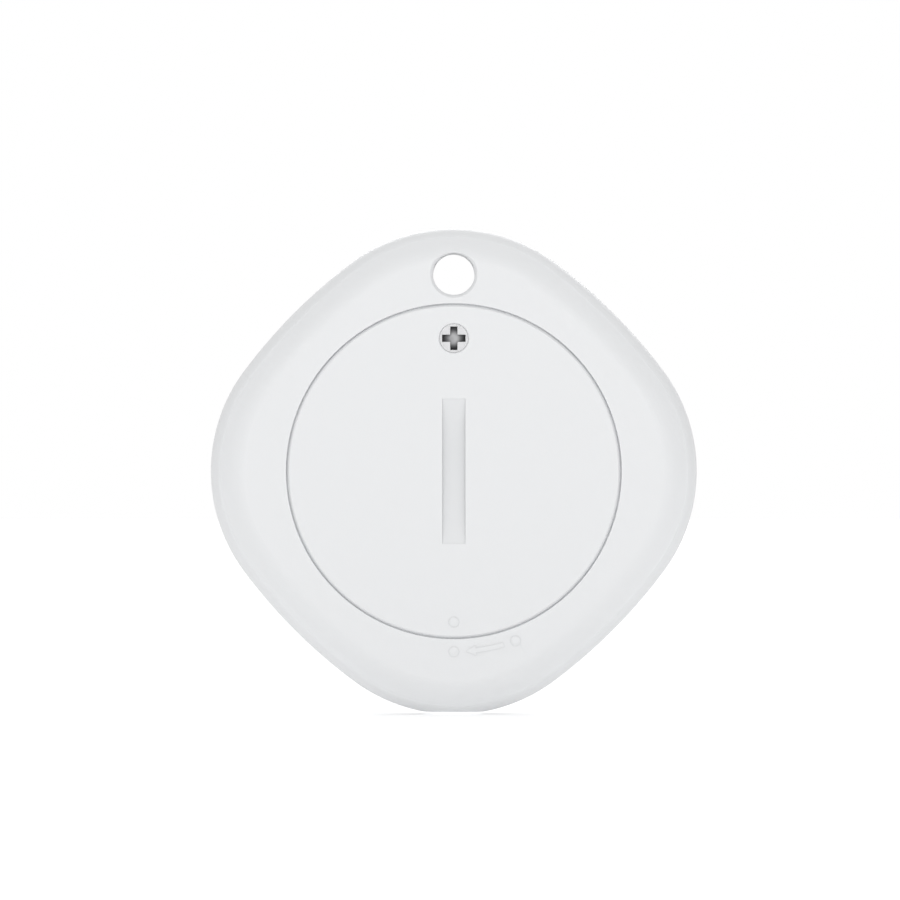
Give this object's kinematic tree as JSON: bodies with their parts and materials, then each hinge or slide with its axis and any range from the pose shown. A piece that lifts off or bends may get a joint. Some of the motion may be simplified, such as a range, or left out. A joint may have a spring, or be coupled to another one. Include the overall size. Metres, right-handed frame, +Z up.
{
  "type": "bluetooth tracker tag",
  "caption": "Key-ring radio tracker: rounded-diamond two-part housing with lanyard hole, press button, screw-locked bayonet battery cover, coin cell, circuit board and piezo sounder.",
  "frame": {"origin": "centre of the lanyard hole, half way through the body", "axes": "+Z up towards the corner with the lanyard hole, +X to the right as seen from the battery cover, -Y out of the battery cover, +Y out of the button"},
  "size_m": [0.042, 0.0099, 0.042],
  "materials": {
    "white_plastic": "fine satin moulded polycarbonate",
    "button_plastic": "satin moulded polycarbonate",
    "grey_plastic": "moulded glass-filled plastic",
    "black_rubber": "matt silicone",
    "seal_silicone": "matt pale grey silicone",
    "board": "green solder mask over glass epoxy",
    "chip_black": "moulded epoxy",
    "capacitor_tan": "sintered ceramic",
    "ceramic": "fired ceramic",
    "gasket_plastic": "natural polypropylene",
    "steel": "bright zinc plate",
    "screw_steel": "nickel-plated steel",
    "cell_steel": "nickel-plated stainless steel",
    "spring_metal": "rolled spring steel",
    "gold_plate": "gold-plated phosphor bronze",
    "brass": "rolled and turned brass"
  },
  "bodies": {
    "housing": {"front_shell": "white_plastic", "rear_shell": "white_plastic", "shell_gasket": "black_rubber", "battery_tray": "grey_plastic", "tray_screws": "steel", "circuit_board": "board", "radio_chip": "chip_black", "crystal": "steel", "chip_antenna": "ceramic", "boost_coil": "chip_black", "chip_capacitors": "capacitor_tan", "chip_resistors": "chip_black", "switch_base": "chip_black", "switch_dome": "spring_metal", "sounder_ring": "black_rubber", "sounder_plate": "brass", "sounder_element": "ceramic", "sounder_springs": "gold_plate", "positive_contact": "gold_plate", "negative_contact": "spring_metal"},
    "seal": {"cover_seal": "seal_silicone"},
    "cover": {"battery_cover": "white_plastic", "screw_insert": "brass"},
    "retainer": {"screw_retainer": "chip_black"},
    "screw": {"cover_screw": "screw_steel"},
    "battery": {"cell_can": "cell_steel", "cell_gasket": "gasket_plastic", "cell_cap": "cell_steel"},
    "button": {"button_cap": "button_plastic", "button_pad": "black_rubber"}
  },
  "joints": [
    {"name": "cover_rise", "type": "slide", "parent": "housing", "child": "seal", "axis": [0, -1, 0], "range_m": [0, 0.008]},
    {"name": "cover_turn", "type": "hinge", "parent": "seal", "child": "cover", "pos_m": [0, 0, -0.017], "axis": [0, -1, 0], "range_deg": [0, 200]},
    {"name": "screw_travel", "type": "slide", "parent": "cover", "child": "retainer", "axis": [0, -1, 0], "range_m": [0, 0.0015]},
    {"name": "screw_turn", "type": "hinge", "parent": "retainer", "child": "screw", "pos_m": [0, 0, -0.00554], "axis": [0, -1, 0], "range_deg": [0, 1800]},
    {"name": "battery_rise", "type": "slide", "parent": "housing", "child": "battery", "axis": [0, -1, 0], "range_m": [0, 0.0053]},
    {"name": "button_press", "type": "slide", "parent": "housing", "child": "button", "axis": [0, -1, 0], "range_m": [0, 0.00025], "stiffness_N_per_m": 4000, "springref_m": -0.0002, "deforming": ["switch_dome"]}
  ],
  "couplings": [
    {"joint": "cover_turn", "follows": "cover_rise", "rad_per_m": 436.33},
    {"joint": "battery_rise", "follows": "cover_rise", "ratio": 0.65},
    {"joint": "screw_turn", "follows": "screw_travel", "rad_per_m": 20944}
  ]
}
